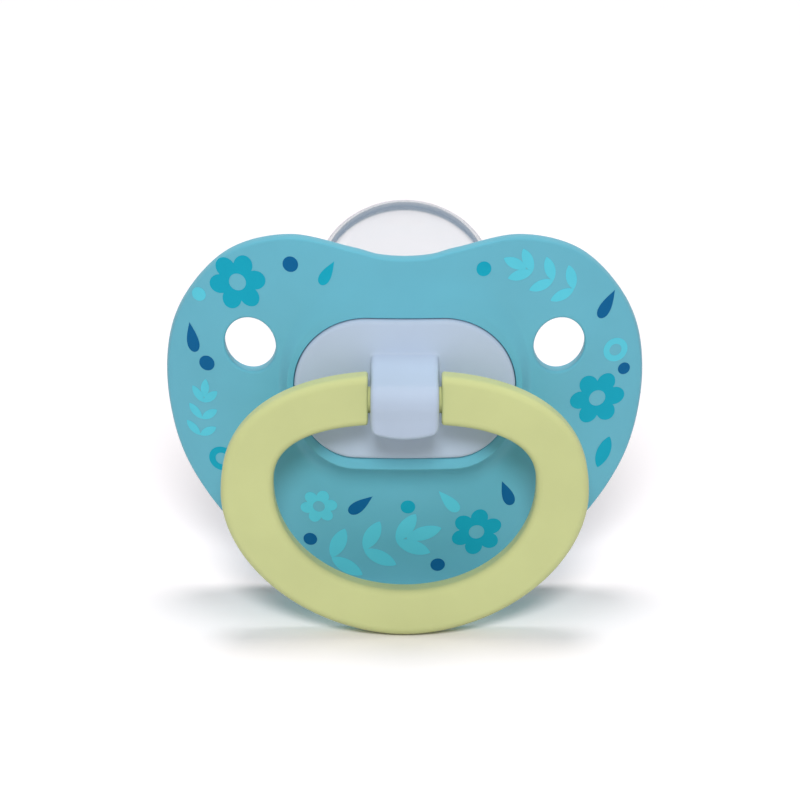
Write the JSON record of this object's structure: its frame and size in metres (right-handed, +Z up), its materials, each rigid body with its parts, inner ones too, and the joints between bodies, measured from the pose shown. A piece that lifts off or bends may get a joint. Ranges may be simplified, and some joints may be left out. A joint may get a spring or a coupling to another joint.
{
  "type": "pacifier",
  "caption": "Orthodontic baby pacifier: butterfly shield with vent holes, hollow silicone teat, oval front button with a hinge lug, and an open ring handle that swings in the lug.",
  "frame": {"origin": "on the floor under the middle of the bounding box, as the pacifier stands on the shield's lower rim and the ring's lower rim", "axes": "+X across the shield, -Y out of the shield's front where the ring is, +Y back through the teat, +Z up"},
  "size_m": [0.0588, 0.0376, 0.0467],
  "materials": {
    "teal_plastic": "moulded polypropylene with a soft satin gloss, teal blue",
    "clear_silicone": "clear liquid silicone rubber, smooth, with a faint blue-white tint",
    "white_plastic": "plain moulded polypropylene, white",
    "pale_blue_plastic": "moulded polypropylene with a soft satin gloss, pale lavender blue",
    "yellow_green_plastic": "moulded polypropylene with a soft satin gloss, pale yellow green"
  },
  "bodies": {
    "soother": {"shield": "teal_plastic", "teat": "clear_silicone", "retaining_plug": "white_plastic", "button": "pale_blue_plastic"},
    "ring": {"ring_handle": "yellow_green_plastic"}
  },
  "joints": [
    {"name": "ring_swing", "type": "hinge", "parent": "soother", "child": "ring", "pos_m": [0, -0.01361, 0.02902], "axis": [-1, 0, 0], "range_deg": [-20, 194]}
  ]
}
